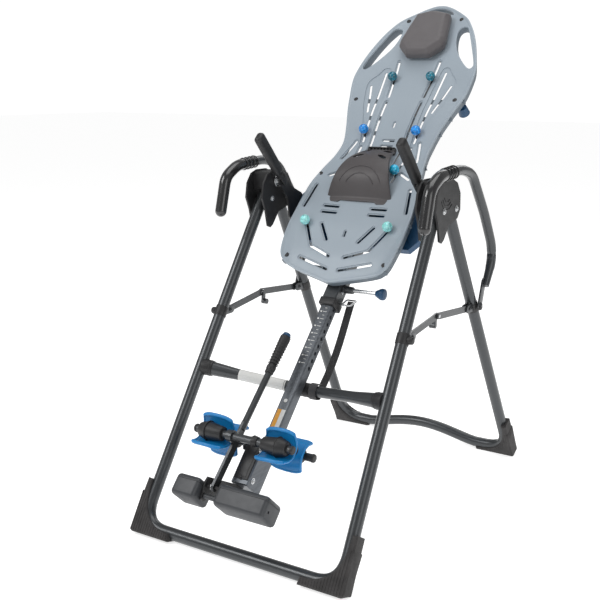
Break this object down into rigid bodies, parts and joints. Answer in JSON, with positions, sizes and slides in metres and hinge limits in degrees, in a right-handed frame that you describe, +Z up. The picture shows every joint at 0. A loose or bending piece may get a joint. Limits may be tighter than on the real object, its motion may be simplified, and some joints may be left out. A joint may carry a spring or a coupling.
{
  "type": "inversion table",
  "caption": "Folding A-frame inversion table with a tilting contoured bed, massage balls, long traction handles, sliding shaft and lever ankle lock.",
  "frame": {"origin": "on the floor, midway along the length and width of the table at rest", "axes": "+X across the table to the side with the selector knob, +Y from the ankle lock towards the head rest, +Z up"},
  "size_m": [0.729, 1.3457, 1.5533],
  "materials": {
    "frame_paint": "satin gunmetal powder coat",
    "black_plastic": "satin black moulding",
    "boot_rubber": "matt ribbed rubber",
    "grip_vinyl": "glossy dipped vinyl",
    "bed_plastic": "satin pale grey-blue moulding",
    "navy_paint": "satin dark blue",
    "cup_blue": "satin bright blue moulding",
    "headrest_foam": "smooth soft foam skin",
    "bridge_rubber": "satin flexible moulding",
    "shaft_steel": "satin grey enamel",
    "bolt_steel": "bright steel",
    "webbing": "woven webbing",
    "ball_teal": "smooth dark teal ball",
    "ball_blue": "smooth bright blue ball",
    "ball_cyan": "smooth cyan ball",
    "ball_pale": "smooth pale cyan ball"
  },
  "bodies": {
    "front_frame": {"front_leg_left": "frame_paint", "front_leg_right": "frame_paint", "front_boot_left": "boot_rubber", "front_boot_right": "boot_rubber", "front_floor_bar": "frame_paint", "front_crossbar": "frame_paint", "crossbar_bumper": "black_plastic", "pivot_bracket_left": "black_plastic", "pivot_bracket_right": "black_plastic"},
    "rear_frame": {"rear_leg_left": "frame_paint", "rear_leg_right": "frame_paint", "rear_boot_left": "boot_rubber", "rear_boot_right": "boot_rubber", "rear_floor_bar": "frame_paint", "traction_handle_left": "frame_paint", "traction_handle_right": "frame_paint", "handle_grip_left": "grip_vinyl", "handle_grip_right": "grip_vinyl"},
    "front_link_left": {"spreader_front_left": "frame_paint"},
    "rear_link_left": {"spreader_rear_left": "frame_paint"},
    "front_link_right": {"spreader_front_right": "frame_paint"},
    "rear_link_right": {"spreader_rear_right": "frame_paint"},
    "bed": {"bed_board": "bed_plastic", "bed_frame_tube": "frame_paint", "bed_back_pan": "navy_paint", "hinge_arm_left": "black_plastic", "hinge_arm_right": "black_plastic", "side_grip_left": "grip_vinyl", "side_grip_right": "grip_vinyl", "headrest_pad": "headrest_foam", "lumbar_bridge": "bridge_rubber", "lumbar_clip": "black_plastic", "rear_knob": "cup_blue", "tether_eye": "bolt_steel"},
    "shaft": {"main_shaft": "shaft_steel", "ankle_carriage": "shaft_steel", "footrest_bracket": "black_plastic", "rear_ankle_rod": "black_plastic"},
    "foot_platform": {"footrest": "boot_rubber"},
    "lever": {"ankle_lever": "frame_paint", "lever_grip": "grip_vinyl", "front_ankle_rod": "frame_paint"},
    "button": {"lever_button": "navy_paint"},
    "front_ankle_cup_left": {"front_cup_left": "cup_blue"},
    "rear_ankle_cup_left": {"rear_cup_left": "cup_blue"},
    "front_ankle_cup_right": {"front_cup_right": "cup_blue"},
    "rear_ankle_cup_right": {"rear_cup_right": "cup_blue"},
    "selector": {"selector_rod": "black_plastic", "selector_knob": "cup_blue"},
    "upper_ball_left": {"ball_upper_left": "ball_teal"},
    "upper_ball_right": {"ball_upper_right": "ball_teal"},
    "middle_ball_left": {"ball_middle_left": "ball_blue"},
    "middle_ball_right": {"ball_middle_right": "ball_blue"},
    "lumbar_ball_left": {"ball_lumbar_left": "ball_cyan"},
    "lumbar_ball_right": {"ball_lumbar_right": "ball_cyan"},
    "lower_ball_left": {"ball_lower_left": "ball_pale"},
    "lower_ball_right": {"ball_lower_right": "ball_pale"},
    "tether": {"tether_strap": "webbing"}
  },
  "joints": [
    {"name": "bed_tilt", "type": "hinge", "parent": "front_frame", "child": "bed", "pos_m": [0, 0.01548, 0.985], "axis": [-1, 0, 0], "range_deg": [0, 141]},
    {"name": "rear_fold", "type": "hinge", "parent": "front_frame", "child": "rear_frame", "pos_m": [0, 0.07448, 0.93], "axis": [-1, 0, 0], "range_deg": [0, 40]},
    {"name": "front_link_swing_left", "type": "hinge", "parent": "front_frame", "child": "front_link_left", "pos_m": [-0.3137, -0.18271, 0.597], "axis": [-1, 0, 0], "range_deg": [0, 90]},
    {"name": "rear_link_swing_left", "type": "hinge", "parent": "rear_frame", "child": "rear_link_left", "pos_m": [-0.3193, 0.21611, 0.6], "axis": [1, 0, 0], "range_deg": [0, 98.3]},
    {"name": "front_link_swing_right", "type": "hinge", "parent": "front_frame", "child": "front_link_right", "pos_m": [0.3137, -0.18271, 0.597], "axis": [-1, 0, 0], "range_deg": [0, 90]},
    {"name": "rear_link_swing_right", "type": "hinge", "parent": "rear_frame", "child": "rear_link_right", "pos_m": [0.3193, 0.21611, 0.6], "axis": [1, 0, 0], "range_deg": [0, 98.3]},
    {"name": "shaft_slide", "type": "slide", "parent": "bed", "child": "shaft", "axis": [0, 0.682, 0.7314], "range_m": [-0.12, 0.16]},
    {"name": "footrest_turn", "type": "hinge", "parent": "shaft", "child": "foot_platform", "pos_m": [0, -0.63481, 0.19673], "axis": [1, 0, 0], "range_deg": [0, 180]},
    {"name": "ankle_lever", "type": "hinge", "parent": "shaft", "child": "lever", "pos_m": [-0.041, -0.62084, 0.22199], "axis": [1, 0, 0], "range_deg": [0, 25]},
    {"name": "lever_button", "type": "slide", "parent": "lever", "child": "button", "axis": [0, -0.7169, -0.6972], "range_m": [0, 0.007], "stiffness_N_per_m": 500, "springref_m": -0.006},
    {"name": "front_cup_rock_left", "type": "hinge", "parent": "lever", "child": "front_ankle_cup_left", "pos_m": [-0.1055, -0.54091, 0.34435], "axis": [1, 0, 0], "range_deg": [-12, 12]},
    {"name": "rear_cup_rock_left", "type": "hinge", "parent": "shaft", "child": "rear_ankle_cup_left", "pos_m": [-0.1055, -0.46438, 0.30033], "axis": [1, 0, 0], "range_deg": [-12, 12]},
    {"name": "front_cup_rock_right", "type": "hinge", "parent": "lever", "child": "front_ankle_cup_right", "pos_m": [0.1055, -0.54091, 0.34435], "axis": [1, 0, 0], "range_deg": [-12, 12]},
    {"name": "rear_cup_rock_right", "type": "hinge", "parent": "shaft", "child": "rear_ankle_cup_right", "pos_m": [0.1055, -0.46438, 0.30033], "axis": [1, 0, 0], "range_deg": [-12, 12]},
    {"name": "selector_pull", "type": "slide", "parent": "bed", "child": "selector", "axis": [1, 0, 0], "range_m": [0, 0.012], "stiffness_N_per_m": 400, "springref_m": -0.01},
    {"name": "upper_ball_slide_left", "type": "slide", "parent": "bed", "child": "upper_ball_left", "axis": [-0.0746, 0.66, 0.7476], "range_m": [-0.0672, 0.0301]},
    {"name": "upper_ball_slide_right", "type": "slide", "parent": "bed", "child": "upper_ball_right", "axis": [0.0746, 0.66, 0.7476], "range_m": [-0.0672, 0.0301]},
    {"name": "middle_ball_slide_left", "type": "slide", "parent": "bed", "child": "middle_ball_left", "axis": [-0.0603, 0.5783, 0.8136], "range_m": [-0.0293, 0.0152]},
    {"name": "middle_ball_slide_right", "type": "slide", "parent": "bed", "child": "middle_ball_right", "axis": [0.0603, 0.5783, 0.8136], "range_m": [-0.0293, 0.0152]},
    {"name": "lumbar_ball_slide_left", "type": "slide", "parent": "bed", "child": "lumbar_ball_left", "axis": [-0.0264, 0.7783, 0.6273], "range_m": [-0.0344, 0]},
    {"name": "lumbar_ball_slide_right", "type": "slide", "parent": "bed", "child": "lumbar_ball_right", "axis": [0.0264, 0.7783, 0.6273], "range_m": [-0.0344, 0]},
    {"name": "lower_ball_slide_left", "type": "slide", "parent": "bed", "child": "lower_ball_left", "axis": [-0.4943, 0.5267, 0.6916], "range_m": [-0.0462, 0]},
    {"name": "lower_ball_slide_right", "type": "slide", "parent": "bed", "child": "lower_ball_right", "axis": [0.4943, 0.5267, 0.6916], "range_m": [-0.0462, 0]},
    {"name": "tether_swing", "type": "hinge", "parent": "front_frame", "child": "tether", "pos_m": [0.047, -0.2453, 0.40658], "axis": [-1, 0, 0], "range_deg": [0, 141]}
  ],
  "couplings": [
    {"joint": "tether_swing", "follows": "bed_tilt", "ratio": 1},
    {"joint": "front_link_swing_left", "follows": "rear_fold", "ratio": 2.2474},
    {"joint": "rear_link_swing_left", "follows": "rear_fold", "ratio": 2.4553},
    {"joint": "front_link_swing_right", "follows": "rear_fold", "ratio": 2.2474},
    {"joint": "rear_link_swing_right", "follows": "rear_fold", "ratio": 2.4553}
  ]
}
